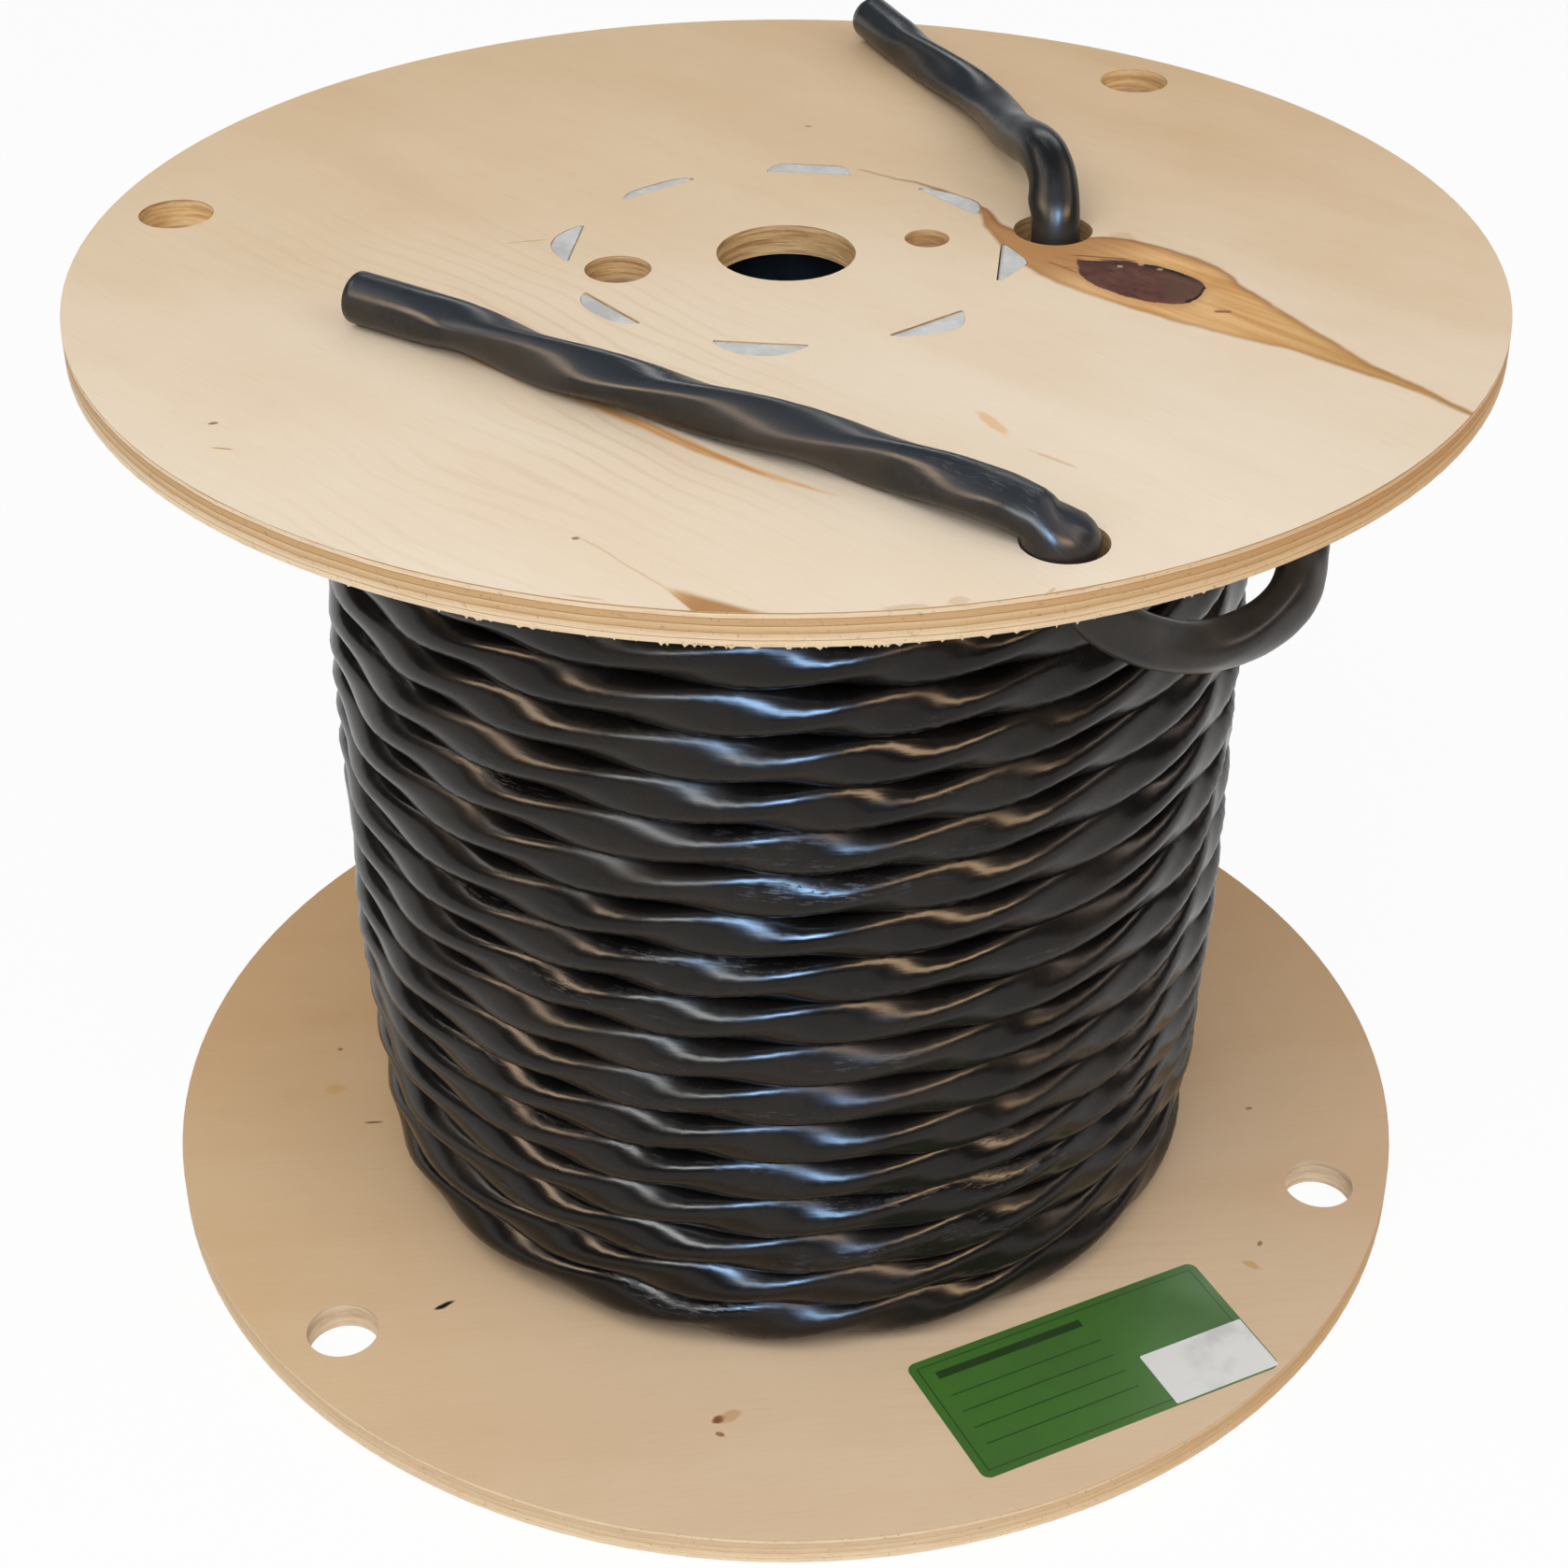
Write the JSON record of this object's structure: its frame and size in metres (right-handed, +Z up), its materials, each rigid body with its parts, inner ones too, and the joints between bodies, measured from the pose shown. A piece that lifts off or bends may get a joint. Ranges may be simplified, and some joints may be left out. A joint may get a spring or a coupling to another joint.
{
  "type": "wire spool",
  "caption": "Plywood-flanged cable reel with a clinched sheet-steel drum, wound full of black three-conductor building cable, both cable ends brought out over the top flange.",
  "frame": {"origin": "centre of the bottom flange's lower face, on the arbor hole's axis", "axes": "+Z up along the reel's axis, -Y towards the side on which the outer cable end lies across the top flange, +X towards the cable's loop and start hole"},
  "size_m": [0.4059, 0.406, 0.3369],
  "materials": {
    "top_plywood": "matte",
    "bottom_plywood": "matte",
    "drum_steel": "satin",
    "inner_layers": "satin",
    "sheath": "gloss",
    "paper_wrap": "matte",
    "black_wire": "gloss",
    "white_wire": "gloss",
    "red_wire": "gloss",
    "copper": "satin",
    "label_paper": "satin",
    "sticker_paper": "matte"
  },
  "bodies": {
    "root": {"bottom_flange": "bottom_plywood", "top_flange": "top_plywood", "drum": "drum_steel", "winding_core": "inner_layers", "cable_winding": "sheath", "outer_cable_end": "sheath", "inner_cable_end": "sheath", "paper_wraps": "paper_wrap", "black_insulation": "black_wire", "white_insulation": "white_wire", "red_insulation": "red_wire", "stranded_copper": "copper", "ground_wires": "copper", "label": "label_paper", "label_sticker": "sticker_paper"}
  },
  "joints": []
}
